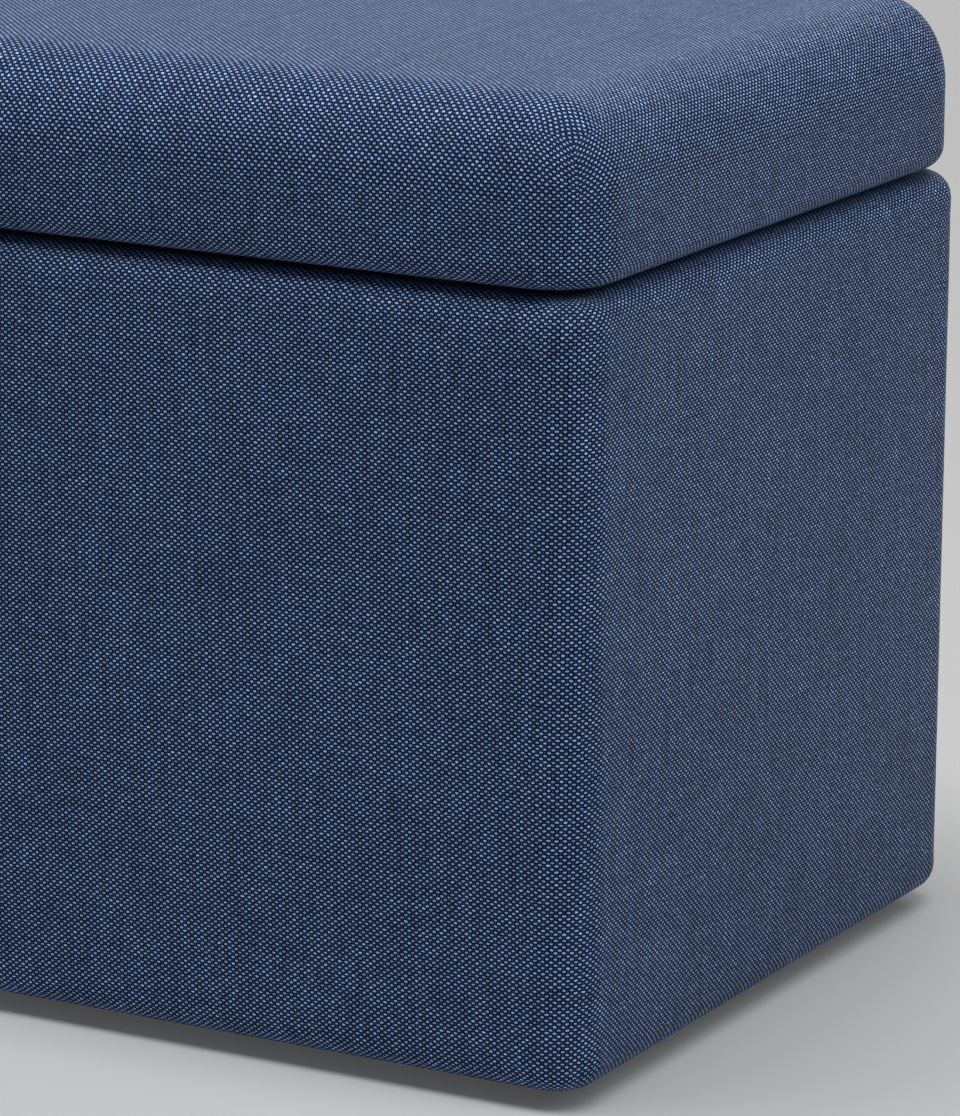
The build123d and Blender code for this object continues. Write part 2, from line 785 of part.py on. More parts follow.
with BuildPart() as stay_base_plates:
    with BuildSketch(right_side_plane(lining_face_x, base_pivot_y, base_pivot_z)):
        SlotOverall(stay_plate_height, stay_plate_width, rotation=90)
        Circle(running_hole, mode=Mode.SUBTRACT)
    extrude(amount=stay_plate_thickness)
    mirror(about=Plane.YZ)
    with Locations(*stay_plate_screw_planes):
        add(plate_screw_hole, mode=Mode.SUBTRACT)
stay_base_plates.part.label = "stay_base_plates"
export_step(stay_base_plates.part, "parts/stay_base_plates.step")

# The bracket's flange hangs from its foot and ends round about the pivot.
with BuildPart() as stay_lid_brackets:
    with BuildSketch(right_side_plane(stay_flange_x, lid_pivot_y, lid_pivot_z)):
        with Locations((0, lid_bottom - lid_pivot_z - stay_plate_thickness / 2)):
            Rectangle(stay_foot_length, stay_plate_thickness)
        Circle(stay_arm_width / 2)
        make_hull()
        Circle(running_hole, mode=Mode.SUBTRACT)
    extrude(amount=stay_plate_thickness)
    with BuildSketch(Plane.XY.offset(stay_foot_bottom)):
        with Locations((stay_foot_middle_x, lid_pivot_y)):
            Rectangle(stay_foot_width, stay_foot_length)
    extrude(amount=stay_plate_thickness)
    bend_edge = stay_lid_brackets.edges().filter_by(Axis.Y).group_by(Axis.Z)[-1].sort_by(Axis.X)[-1]
    fillet(bend_edge, radius=stay_bend_radius)
    mirror(about=Plane.YZ)
    with Locations(*stay_foot_screw_planes):
        add(plate_screw_hole, mode=Mode.SUBTRACT)
stay_lid_brackets.part.label = "stay_lid_brackets"
export_step(stay_lid_brackets.part, "parts/stay_lid_brackets.step")

plate_screw_body = wood_screw(plate_screw)

with BuildPart() as stay_base_screws:
    with Locations(*stay_plate_screw_planes):
        add(plate_screw_body)
stay_base_screws.part.label = "stay_base_screws"
export_step(stay_base_screws.part, "parts/stay_base_screws.step")

with BuildPart() as stay_lid_screws:
    with Locations(*stay_foot_screw_planes):
        add(plate_screw_body)
stay_lid_screws.part.label = "stay_lid_screws"
export_step(stay_lid_screws.part, "parts/stay_lid_screws.step")

print("hinge axis y, z:", round(hinge_y, 3), round(hinge_z, 3))
print("base pivot y, z:", round(base_pivot_y, 3), round(base_pivot_z, 3))
print("elbow pivot y, z:", round(elbow_y, 3), round(elbow_z, 3))
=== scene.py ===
"""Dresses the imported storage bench: woven covers, linings, fittings, floor, light and camera.

Everything is in metres in the part's own frame, and is placed from the CAD boxes.
"""
import math

import bmesh
import bpy
import numpy as np
from mathutils import Matrix, Vector
from mathutils import noise as field


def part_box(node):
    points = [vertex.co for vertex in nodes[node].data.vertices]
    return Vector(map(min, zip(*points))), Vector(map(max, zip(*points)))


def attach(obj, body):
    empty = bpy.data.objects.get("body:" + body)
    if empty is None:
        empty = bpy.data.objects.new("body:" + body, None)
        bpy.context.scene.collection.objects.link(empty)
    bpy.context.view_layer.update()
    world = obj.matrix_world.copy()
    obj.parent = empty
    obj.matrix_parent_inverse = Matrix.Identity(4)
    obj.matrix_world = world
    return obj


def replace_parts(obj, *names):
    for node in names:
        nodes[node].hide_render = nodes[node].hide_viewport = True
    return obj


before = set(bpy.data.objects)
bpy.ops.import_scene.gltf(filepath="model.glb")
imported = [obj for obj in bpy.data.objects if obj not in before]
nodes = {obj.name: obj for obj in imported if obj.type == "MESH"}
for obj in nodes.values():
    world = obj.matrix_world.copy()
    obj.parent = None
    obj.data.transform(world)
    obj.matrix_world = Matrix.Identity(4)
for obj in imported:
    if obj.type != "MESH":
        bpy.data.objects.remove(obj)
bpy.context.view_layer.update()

MM = 0.001

# ---------------------------------------------------------------- sizes from the frame

BASE_LOW, BASE_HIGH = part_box("base_cover")
LID_LOW, LID_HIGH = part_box("lid_cover")
BOARD_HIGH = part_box("front_panel")[1]
LINING_LOW, LINING_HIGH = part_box("compartment_lining")
DUST_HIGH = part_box("dust_cover")[1]
LID_LINING_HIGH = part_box("lid_lining")[1]

BASE_HALF = (BASE_HIGH.x, BASE_HIGH.y)
LID_HALF = (LID_HIGH.x, LID_HIGH.y)
COVER = 1.0 * MM  # the fabric's thickness
ROLL = BASE_HALF[0] - BOARD_HIGH.x  # the base's rim and bottom rolls
BASE_CORNER = ROLL + 10 * MM
LID_CORNER = 34 * MM
LID_CROWN = 2.6 * MM
LID_CROWN_SHARPNESS = 2.6  # how far out the crown stays flat
LID_BOTTOM_ROLL = 11 * MM
LID_TOP_ROLL = 34 * MM  # the top roll's reach across
LID_TOP_DROP = 43 * MM  # and down
SIDE_BULGE = 0.4 * MM
MITRE = 2 * MM  # the least corner radius of a turned-in edge

# ---------------------------------------------------------------- stations and rings

QUARTER = math.pi / 4
ARC_STEPS = 6
GRID = 8 * MM  # the covers' mesh on their flat parts
PATCH_GAP = 4 * MM  # between two patches on the flat cloth
MAP_MARGIN = 0.004  # left free round the baking map


def stations(run, yarns, corner_yarns):
    """One side's stations: place along its straight (-1 to 1), corner angle and yarn count."""
    steps = max(2, round(run / GRID))
    arc = np.linspace(-QUARTER, 0, ARC_STEPS + 1)[:-1]
    place = np.concatenate([-np.ones(ARC_STEPS), np.linspace(-1, 1, steps + 1), np.ones(ARC_STEPS)])
    angle = np.concatenate([arc, np.zeros(steps + 1), -arc[::-1]])
    count = place * yarns / 2 + angle / QUARTER * corner_yarns
    return place, angle, count


def turned(side, t, n):
    """A side's own along and outward places, as x and y. Side 0 is the front, then right, back, left."""
    c, s = round(math.cos(side * math.pi / 2)), round(math.sin(side * math.pi / 2))
    return t * c + n * s, t * s - n * c


def shift(side, yarns, corner_yarns):
    """A whole yarn that the ends' sides may need, so that the checks go on round each corner."""
    return side % 2 * ((int(yarns[0] / 2 + corner_yarns) + int(yarns[1] / 2 + corner_yarns) + 1) % 2)


def half_of(side, half):
    """A box's half sizes along a side and across it."""
    return (half[0], half[1]) if side % 2 == 0 else (half[1], half[0])


def ring(side, half, inset, corner, row, bulge=0.0):
    """One side's points of a rounded outline that is drawn in by inset."""
    place, angle = row[0], row[1]
    along, across = half_of(side, half)
    radius = max(corner - inset, MITRE)
    t = place * (along - inset - radius) + radius * np.sin(angle)
    n = (across - inset - radius) + radius * np.cos(angle)
    n = n + bulge * (1 - place**4)
    return turned(side, t, n)


class Cloth:
    """Collects grids of points with their yarn counts and their place on the cloth, and makes one mesh."""

    def __init__(self):
        self.points, self.faces, self.yarns, self.cloth = [], [], [], []
        self.start = 0
        self.shelf = 0.0

    def grid(self, x, y, z, across, down, along, deep, flip=False):
        """x, y, z are rows by columns; across and down the yarn counts; along and deep the flat lengths."""
        rows, columns = z.shape
        self.points.append(np.stack([x, y, z], -1).reshape(-1, 3))
        index = np.arange(rows * columns).reshape(rows, columns) + self.start
        corners = [index[:-1, :-1], index[:-1, 1:], index[1:, 1:], index[1:, :-1]]
        uv = np.stack(np.broadcast_arrays(across, down), -1)
        flat = np.stack(np.broadcast_arrays(along - along.min(), deep - deep.min() + self.shelf), -1)
        uv_corners = [uv[:-1, :-1], uv[:-1, 1:], uv[1:, 1:], uv[1:, :-1]]
        flat_corners = [flat[:-1, :-1], flat[:-1, 1:], flat[1:, 1:], flat[1:, :-1]]
        if flip:
            corners, uv_corners, flat_corners = corners[::-1], uv_corners[::-1], flat_corners[::-1]
        self.faces.append(np.stack(corners, -1).reshape(-1, 4))
        self.yarns.append(np.stack(uv_corners, -2).reshape(-1, 2))
        self.cloth.append(np.stack(flat_corners, -2).reshape(-1, 2))
        self.start += rows * columns
        self.shelf += float(np.ptp(deep)) + PATCH_GAP

    def mesh(self, name):
        made = bpy.data.meshes.new(name)
        points, faces = np.concatenate(self.points), np.concatenate(self.faces)
        made.from_pydata(points.tolist(), [], faces.tolist())
        flat = np.concatenate(self.cloth)
        flat = MAP_MARGIN + (1 - 2 * MAP_MARGIN) * (flat - flat.min(0)) / np.ptp(flat, axis=0)
        for title, values in (("Weave", np.concatenate(self.yarns)), ("OFBake", flat)):
            layer = made.uv_layers.new(name=title, do_init=False)
            layer.uv.foreach_set("vector", values.astype(np.float32).ravel())
        return made


def piece(name, mesh, material, body, merge=2e-6, smooth=True):
    """A mesh as a piece of the object: welded, shaded, finished and riding on its body."""
    if merge:
        work = bmesh.new()
        work.from_mesh(mesh)
        bmesh.ops.remove_doubles(work, verts=work.verts, dist=merge)
        bmesh.ops.dissolve_degenerate(work, edges=work.edges, dist=1e-7)
        work.to_mesh(mesh)
        work.free()
    for polygon in mesh.polygons:
        polygon.use_smooth = smooth
    made = bpy.data.objects.new(name, mesh)
    bpy.context.scene.collection.objects.link(made)
    mesh.materials.append(material)
    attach(made, body)
    return made


# ---------------------------------------------------------------- the cloth over its filling

SETTLE_FRAMES = 16
SETTLE_QUALITY = 5
SETTLE_MASS = 0.1
SETTLE_STRETCH = 25  # stiffness against pull and push
SETTLE_SHEAR = 12
SETTLE_BEND = 2.0
FILLING_SCALE = 9.0  # how closely soft and firm places follow each other
FILLING_MEAN = 0.75
FILLING_SPREAD = 0.5
FILLING_LEAST = 0.1
FREE_ENOUGH = 0.5  # points freer than this are measured against the cap


def ease(values, start, end):
    """0 at start and 1 at end, with soft ends."""
    share = ((values - start) / (end - start)).clip(0, 1)
    return share * share * (3 - 2 * share)


def read_points(mesh):
    points = np.zeros(len(mesh.vertices) * 3, np.float32)
    mesh.vertices.foreach_get("co", points)
    return points.reshape(-1, 3).astype(float)


def settle(made, free, cap, pressure):
    """Swells a padded piece's cloth over its filling by a short simulation, by at most cap, where free is 1."""
    scene = bpy.context.scene
    mesh = made.data
    start = read_points(mesh)
    free = free(start)
    held = made.vertex_groups.new(name="held")
    filled = made.vertex_groups.new(name="filled")
    for index, (point, share) in enumerate(zip(start, free)):
        if share < 1:
            held.add([index], float(1 - share), "REPLACE")
        soft = FILLING_MEAN + FILLING_SPREAD * field.noise(Vector(point) * FILLING_SCALE)
        filled.add([index], min(1.0, max(FILLING_LEAST, soft)), "REPLACE")
    cloth = made.modifiers.new("settle", "CLOTH")
    given = cloth.settings
    given.quality = SETTLE_QUALITY
    given.mass = SETTLE_MASS
    given.tension_stiffness = given.compression_stiffness = SETTLE_STRETCH
    given.shear_stiffness = SETTLE_SHEAR
    given.bending_stiffness = SETTLE_BEND
    given.use_pressure = True
    given.uniform_pressure_force = pressure
    given.vertex_group_pressure = filled.name
    given.vertex_group_mass = held.name
    given.effector_weights.gravity = 0
    cloth.collision_settings.use_collision = False
    cloth.point_cache.frame_start = 1
    cloth.point_cache.frame_end = SETTLE_FRAMES
    for frame_number in range(1, SETTLE_FRAMES + 1):
        scene.frame_set(frame_number)
    swollen = made.evaluated_get(bpy.context.evaluated_depsgraph_get())
    moved = read_points(swollen.data) - start
    made.modifiers.remove(cloth)
    made.vertex_groups.clear()
    scene.frame_set(1)
    far = np.linalg.norm(moved, axis=1, keepdims=True)
    moved = moved * free[:, None] * min(1.0, cap / far[free > FREE_ENOUGH].max())
    mesh.vertices.foreach_set("co", (start + moved).astype(np.float32).ravel())
    mesh.update()


# ---------------------------------------------------------------- materials

class Tree:
    """A material's nodes, with short ways to write sums on its sockets."""

    def __init__(self, name, **principled):
        self.material = bpy.data.materials.new(name)
        self.material.use_nodes = True
        self.all = self.material.node_tree.nodes
        self.links = self.material.node_tree.links
        self.shader = self.all["Principled BSDF"]
        for socket, value in principled.items():
            self.put(self.shader.inputs[socket.replace("_", " ")], value)

    def put(self, socket, value):
        if isinstance(value, bpy.types.NodeSocket):
            self.links.new(value, socket)
        else:
            socket.default_value = value

    def node(self, kind, inputs=(), output=0, **settings):
        made = self.all.new(kind)
        for key, value in settings.items():
            setattr(made, key, value)
        for key, value in dict(inputs).items():
            self.put(made.inputs[key], value)
        return made.outputs[output]

    def sum(self, operation, *values):
        made = self.all.new("ShaderNodeMath")
        made.operation = operation
        for socket, value in zip(made.inputs, values):
            self.put(socket, value)
        return made.outputs[0]

    def wide(self, x, y, z=0.0):
        return self.node("ShaderNodeCombineXYZ", {0: x, 1: y, 2: z})

    def noise(self, vector, scale, detail=2.0, rough=0.5):
        return self.node(
            "ShaderNodeTexNoise",
            {"Vector": vector, "Scale": scale, "Detail": detail, "Roughness": rough},
        )

    def blend(self, factor, first, second, kind="MIX"):
        made = self.all.new("ShaderNodeMix")
        made.data_type = "RGBA"
        made.blend_type = kind
        self.put(made.inputs["Factor"], factor)
        for socket in made.inputs:
            if socket.type == "RGBA" and socket.name == "A":
                self.put(socket, first)
            if socket.type == "RGBA" and socket.name == "B":
                self.put(socket, second)
        return next(s for s in made.outputs if s.type == "RGBA")

    def smooth(self, value, low, high, to_low=0.0, to_high=1.0):
        return self.node(
            "ShaderNodeMapRange",
            {"Value": value, "From Min": low, "From Max": high, "To Min": to_low, "To Max": to_high},
            interpolation_type="SMOOTHSTEP",
        )

    def bump(self, height, distance):
        return self.node("ShaderNodeBump", {"Height": height, "Distance": distance, "Strength": 1.0})

    def vary(self, noise, amount):
        """A factor round 1 that follows a noise, which is round a half."""
        return self.sum("MULTIPLY_ADD", noise, amount, 1 - amount / 2)


def rgb(red, green, blue):
    """An sRGB colour, 0 to 255, as a linear one."""

    def line(v):
        v /= 255
        return v / 12.92 if v <= 0.04045 else ((v + 0.055) / 1.055) ** 2.4

    return (line(red), line(green), line(blue), 1.0)


WEAVE_DEPTH = 0.3 * MM
WEAVE_ROUGHNESS = 0.45
WEAVE_SPECULAR = 0.05
SWAY_SCALE = 420.0
SWAY = 0.5  # how far a yarn wanders, in yarns
WEFT_SLIM = 6.5  # how fast a float's round crown falls across the yarn
WARP_SLIM = 4.0
FLOAT_LIFT = 0.5  # a float's rise over the crossing yarn
FLOAT_CROWN = 0.6  # and its own round
WEFT_LEADS = (-0.25, 0.35)  # how far the weft leads where it starts to cover the warp, and covers it
WEFT_CREST = (0.72, 1.16)  # the heights from a yarn's edge to its crest, over which its painted shade gives way
WARP_CREST = (1.0, 1.2)
CREVICE = (0.4, 0.8)  # the heights that lie in shade between the yarns
CREVICE_TONE = 0.1
GLINT_POWER = 2.5  # painted glints: a few floats are much lighter than the rest
GLINT = 0.4
GLINT_LEAST = 0.86
WEFT_VARIES = 0.7  # how much the tone differs from yarn to yarn
WARP_VARIES = 0.9
FIBRE_VARIES = 1.0
CLOUD_VARIES = 0.2
FIBRE_BUMP = 0.12


def woven(name, light, middle, dark, deep):
    """A plain weave of a light weft and a dark warp, counted in yarns by the map named Weave.

    The weft goes from light on its crests to middle at its edges, the warp from dark to deep: this darkening
    towards the yarns' edges is painted shade.
    """
    t = Tree(name, Roughness=WEAVE_ROUGHNESS)
    t.shader.inputs["Specular IOR Level"].default_value = WEAVE_SPECULAR
    split = t.node("ShaderNodeSeparateXYZ", {0: t.node("ShaderNodeUVMap", uv_map="Weave")}).node
    raw_a, raw_b = split.outputs[0], split.outputs[1]
    place = t.node("ShaderNodeTexCoord", (), 3)
    # each yarn wanders and swells a little along its run
    sway = t.node("ShaderNodeTexNoise", {"Vector": place, "Scale": SWAY_SCALE, "Detail": 1.0}, 1)
    sways = t.node("ShaderNodeSeparateXYZ", {0: sway}).node.outputs
    a = t.sum("MULTIPLY_ADD", t.sum("SUBTRACT", sways[0], 0.5), SWAY, raw_a)
    b = t.sum("MULTIPLY_ADD", t.sum("SUBTRACT", sways[1], 0.5), SWAY, raw_b)
    cell_a, cell_b = t.sum("FLOOR", a), t.sum("FLOOR", b)
    in_a = t.sum("SUBTRACT", t.sum("SUBTRACT", a, cell_a), 0.5)
    in_b = t.sum("SUBTRACT", t.sum("SUBTRACT", b, cell_b), 0.5)
    parity = t.sum("FLOORED_MODULO", t.sum("ADD", cell_a, cell_b), 2.0)
    sign = t.sum("MULTIPLY_ADD", parity, -2.0, 1.0)

    def float_height(run, breadth, side, slim):
        wave = t.sum("COSINE", t.sum("MULTIPLY", run, math.pi))
        wave = t.sum("MINIMUM", t.sum("MULTIPLY", wave, 2.0), 1.0)
        lift = t.sum("MULTIPLY", wave, side)
        square = t.sum("MULTIPLY", t.sum("MULTIPLY", breadth, breadth), -slim)
        crown = t.sum("SQRT", t.sum("MAXIMUM", t.sum("ADD", square, 1.0), 0.0))
        return t.sum("MULTIPLY_ADD", lift, FLOAT_LIFT, t.sum("MULTIPLY", crown, FLOAT_CROWN))

    weft = float_height(in_a, in_b, sign, WEFT_SLIM)
    warp = float_height(in_b, in_a, t.sum("MULTIPLY", sign, -1.0), WARP_SLIM)
    over = t.smooth(t.sum("SUBTRACT", weft, warp), *WEFT_LEADS)
    height = t.sum("MAXIMUM", weft, warp)
    # colour: each yarn and the fibres differ a little; a few floats carry painted glints, and the low places
    # between the yarns carry painted shade
    spot = t.node("ShaderNodeTexWhiteNoise", {0: t.wide(cell_a, cell_b)}, 0, noise_dimensions="3D")
    spots = t.node("ShaderNodeSeparateXYZ", {0: place}).node.outputs
    slow = t.sum("MULTIPLY", t.sum("ADD", spots[0], spots[1]), 30.0)
    tall = t.sum("MULTIPLY", spots[2], 22.0)
    weft_tone = t.noise(t.wide(slow, cell_b), 1.3)
    warp_tone = t.noise(t.wide(cell_a, tall, 3.0), 1.3)
    fibre = t.noise(t.wide(t.sum("MULTIPLY", a, 2.0), t.sum("MULTIPLY", b, 6.0)), 1.0)
    cloud = t.noise(place, 14.0)
    # painted glints: floats picked at random are lightened, standing in for highlights on their fibres
    glint = t.sum("MULTIPLY_ADD", t.sum("POWER", spot, GLINT_POWER), GLINT, GLINT_LEAST)
    tone = t.vary(weft_tone, WEFT_VARIES)
    for noise, amount in ((warp_tone, WARP_VARIES), (fibre, FIBRE_VARIES), (cloud, CLOUD_VARIES)):
        tone = t.sum("MULTIPLY", tone, t.vary(noise, amount))
    level = t.sum("MULTIPLY", tone, t.sum("MULTIPLY_ADD", t.sum("SUBTRACT", glint, 1.0), over, 1.0))
    # painted shade in the low places between the yarns
    level = t.sum("MULTIPLY", level, t.smooth(height, *CREVICE, CREVICE_TONE, 1.0))
    # painted shade: each yarn's colour darkens towards its edges
    weft_colour = t.blend(t.smooth(height, *WEFT_CREST), middle, light)
    warp_colour = t.blend(t.smooth(height, *WARP_CREST), deep, dark)
    mixed = t.blend(over, warp_colour, weft_colour)
    colour = t.blend(1.0, mixed, t.wide(level, level, level), "MULTIPLY")
    t.put(t.shader.inputs["Base Color"], colour)
    relief = t.sum("MULTIPLY_ADD", fibre, FIBRE_BUMP, height)
    t.put(t.shader.inputs["Normal"], t.bump(relief, WEAVE_DEPTH))
    return t.material


def surface(name, colour, other, scale, rough, metal, grain, stretch=(1, 1, 1)):
    """A solid material whose colour and gloss vary, with a fine bump of grain metres."""
    t = Tree(name, Metallic=metal)
    place = t.node("ShaderNodeTexCoord", (), 3)
    place = t.node("ShaderNodeMapping", {"Vector": place, "Scale": stretch})
    spots = t.noise(place, scale, 4.0, 0.6)
    t.put(t.shader.inputs["Base Color"], t.blend(t.smooth(spots, 0.3, 0.7), colour, other))
    t.put(t.shader.inputs["Roughness"], t.smooth(spots, 0.25, 0.75, *rough))
    t.put(t.shader.inputs["Normal"], t.bump(t.noise(place, scale * 3, 3.0), grain))
    return t.material


EMBOSSED_DEPTH = 0.12 * MM
PRESSED = (0.2, 0.34)  # a pressed point's radius and its rim's, in point spacings


def embossed(name, colour, other, pressed):
    """A non-woven sheet with rows of pressed points, counted by the map named Weave."""
    t = Tree(name)
    split = t.node("ShaderNodeSeparateXYZ", {0: t.node("ShaderNodeUVMap", uv_map="Weave")}).node
    place = t.node("ShaderNodeTexCoord", (), 3)
    row = t.sum("FLOOR", split.outputs[1])
    a = t.sum("MULTIPLY_ADD", t.sum("FLOORED_MODULO", row, 2.0), 0.5, split.outputs[0])
    in_a = t.sum("SUBTRACT", t.sum("SUBTRACT", a, t.sum("FLOOR", a)), 0.5)
    in_b = t.sum("SUBTRACT", t.sum("SUBTRACT", split.outputs[1], row), 0.5)
    reach = t.sum("SQRT", t.sum("ADD", t.sum("MULTIPLY", in_a, in_a), t.sum("MULTIPLY", in_b, in_b)))
    raised = t.smooth(reach, *PRESSED)
    fibres = t.noise(place, 900.0, 5.0, 0.7)
    cloud = t.noise(place, 60.0, 3.0)
    mottle = t.sum("MULTIPLY_ADD", cloud, 0.6, t.sum("MULTIPLY", fibres, 0.4))
    plain = t.blend(t.smooth(mottle, 0.2, 0.8), colour, other)
    t.put(t.shader.inputs["Base Color"], t.blend(raised, pressed, plain))
    t.put(t.shader.inputs["Roughness"], t.smooth(raised, 0.0, 1.0, 0.55, 0.92))
    t.put(t.shader.inputs["Normal"], t.bump(t.sum("MULTIPLY_ADD", fibres, 0.5, raised), EMBOSSED_DEPTH))
    return t.material


navy = woven(
    "navy_weave", light=rgb(184, 208, 246), middle=rgb(50, 86, 147), dark=rgb(78, 117, 184), deep=rgb(0, 7, 44)
)
felt = embossed("felt_lining", rgb(54, 58, 66), rgb(74, 79, 88), rgb(34, 37, 43))
ply = surface(
    "birch_ply", rgb(186, 150, 106), rgb(206, 172, 128), 60, (0.5, 0.65), 0.0, 0.05 * MM, stretch=(0.15, 1, 1)
)
zinc = surface("zinc_plate", rgb(176, 180, 184), rgb(196, 199, 202), 260, (0.28, 0.42), 1.0, 0.01 * MM)
steel = surface("stay_steel", rgb(150, 152, 156), rgb(178, 180, 184), 200, (0.3, 0.45), 1.0, 0.01 * MM)
plastic = surface("glide_plastic", rgb(24, 25, 27), rgb(34, 35, 38), 700, (0.4, 0.55), 0.0, 0.02 * MM)
rubber = surface("bumper_rubber", rgb(30, 30, 31), rgb(42, 42, 43), 500, (0.7, 0.85), 0.0, 0.03 * MM)

# ---------------------------------------------------------------- the base's cover

BASE_YARNS = (390, 204)  # along x and along y, on the straights
BASE_CORNER_YARNS = 9.5
PITCH_DOWN = 1.45 * MM  # from one weft yarn to the next
RIM_LAP = 2 * MM  # the roll where the cover turns down into the box
BULGE_POWER = 0.7  # under 1, so the side stands full up to its rolls
SKIN = 0.1 * MM  # the cover's inner face stays this much inside its thickness
BOARD_GAP = 0.05 * MM
HIDDEN = 0.05  # the share of its length that a hidden stretch takes on the flat cloth
HIDDEN_WALL = 0.02


def arc(steps, start=0.0, end=math.pi / 2):
    return np.linspace(start, end, steps + 1)


def base_profile():
    """(inset, z, bulge, weight) of the cover's rings, from under the bottom, up, over the rim and back inside."""
    under, top = BASE_LOW.z, BASE_HIGH.z
    turn_in = BASE_HALF[0] - DUST_HIGH.x
    inner = BASE_HALF[0] - LINING_HIGH.x + COVER
    down = LINING_HIGH.z
    rows = [(inset, under, 0.0, 1) for inset in np.linspace(turn_in, ROLL, 5)[:-1]]
    rows += [(ROLL - ROLL * math.sin(a), under + ROLL - ROLL * math.cos(a), 0.0, 1) for a in arc(6)]
    low, high = under + ROLL, top - ROLL
    steps = round((high - low) / GRID)
    for step in range(1, steps):
        share = step / steps
        bulge = SIDE_BULGE * math.sin(math.pi * share) ** BULGE_POWER
        rows.append((0.0, low + (high - low) * share, bulge, 1))
    rows += [(ROLL - ROLL * math.cos(a), high + ROLL * math.sin(a), 0.0, 1) for a in arc(6)]
    edge = inner - RIM_LAP
    rows += [(inset, top, 0.0, 1) for inset in np.linspace(ROLL, edge, 4)[1:-1]]
    rows += [(edge + RIM_LAP * math.sin(a), top - RIM_LAP + RIM_LAP * math.cos(a), 0.0, 1) for a in arc(4)]
    rows += [(inner, z, 0.0, 1) for z in np.linspace(top - RIM_LAP, down, 5)[1:]]
    board = ROLL + BOARD_GAP
    skin = COVER - SKIN
    rows += [(inner - skin, down, 0.0, 1)]
    rows += [(inner - skin, top - skin, 0.0, HIDDEN), (board, top - skin, 0.0, HIDDEN)]
    rows += [(board, under + skin, 0.0, HIDDEN_WALL), (turn_in, under + skin, 0.0, HIDDEN)]
    rows += [rows[0][:3] + (1,)]
    return rows


def make_base_cover():
    cloth = Cloth()
    profile = base_profile()
    for side in range(4):
        along = half_of(side, BASE_HALF)[0]
        yarns = BASE_YARNS[side % 2]
        row = stations(2 * (along - BASE_CORNER), yarns, BASE_CORNER_YARNS)
        x, y, z, down, deep = [], [], [], [], []
        travelled = shelf = 0.0
        last = None
        for inset, level, bulge, weight in profile:
            px, py = ring(side, BASE_HALF, inset, BASE_CORNER, row, bulge)
            if last is not None:
                step = math.hypot(inset - last[0], level - last[1])
                travelled += step
                shelf += step * weight
            last = (inset, level)
            x.append(px)
            y.append(py)
            z.append(np.full_like(px, level))
            down.append(travelled / PITCH_DOWN)
            deep.append(shelf)
        length = row[0] * (along - BASE_CORNER) + row[1] * BASE_CORNER
        count = row[2] + shift(side, BASE_YARNS, BASE_CORNER_YARNS)
        cloth.grid(
            np.array(x),
            np.array(y),
            np.array(z),
            count[None, :],
            np.array(down)[:, None],
            length[None, :],
            np.array(deep)[:, None],
        )
    return piece("base_upholstery", cloth.mesh("base_upholstery"), navy, "base")


def base_free(points):
    """1 on the base's sides and 0 past its rolls."""
    inset = np.minimum(BASE_HALF[0] - np.abs(points[:, 0]), BASE_HALF[1] - np.abs(points[:, 1]))
    return 1 - ease(inset, 0.5 * MM, 0.6 * ROLL)


base_upholstery = make_base_cover()
settle(base_upholstery, base_free, 2.0 * MM, 0.9)
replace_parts(base_upholstery, "base_cover", "front_padding", "back_padding", "left_padding", "right_padding")

# ---------------------------------------------------------------- the lid's cover

LID_YARNS = (398, 206)
LID_CORNER_YARNS = 15.5
LID_LOWER_ROLL_YARNS = 20.0
LID_ROLL_STEPS = 8
UNDER_GAP = COVER + SKIN  # from the lid's underside up to the closing face


def crown(x, y):
    """The lid's slow rise to its middle."""
    share = (1 - np.abs(x / LID_HALF[0]) ** LID_CROWN_SHARPNESS).clip(0, 1)
    share = share * (1 - np.abs(y / LID_HALF[1]) ** LID_CROWN_SHARPNESS).clip(0, 1)
    return LID_CROWN * share


def corner_reach(first, second):
    """Tangents of a patch's two corner angles, and their length."""
    a, b = np.tan(first), np.tan(second)
    return a, b, np.hypot(a, b)


def lid_top(cloth, rows, lengths):
    """The top, out to the middle of its rolls."""
    (px, ax, hx), (py, ay, hy) = rows
    a, b, reach = corner_reach(ax[None, :], ay[:, None])
    slope = np.hypot(reach, 1)
    out = LID_TOP_ROLL / slope
    x = px[None, :] * (LID_HALF[0] - LID_CORNER) + out * a
    y = py[:, None] * (LID_HALF[1] - LID_CORNER) + out * b
    z = LID_HIGH.z - LID_TOP_DROP + LID_TOP_DROP / slope + crown(x, y)
    cloth.grid(x, y, z, hx[None, :], hy[:, None], lengths[0][None, :], lengths[1][:, None])


def lid_profile():
    """(inset, z, bulge) of the lid's rings, from under its top roll down and in under the lid."""
    bottom = LID_LOW.z
    high, low = LID_HIGH.z - LID_TOP_DROP, bottom + LID_BOTTOM_ROLL
    turn_in = LID_HALF[0] - LID_LINING_HIGH.x
    steps = round((high - low) / GRID) + 1
    rows = []
    for step in range(1, steps):
        share = step / steps
        rows.append((0.0, high + (low - high) * share, SIDE_BULGE * math.sin(math.pi * share)))
    rows += [(LID_BOTTOM_ROLL * (1 - math.cos(a)), low - LID_BOTTOM_ROLL * math.sin(a), 0.0) for a in arc(6)]
    rows += [(inset, bottom, 0.0) for inset in np.linspace(LID_BOTTOM_ROLL, turn_in, 5)[1:]]
    return rows + [(turn_in, bottom + UNDER_GAP, 0.0)]


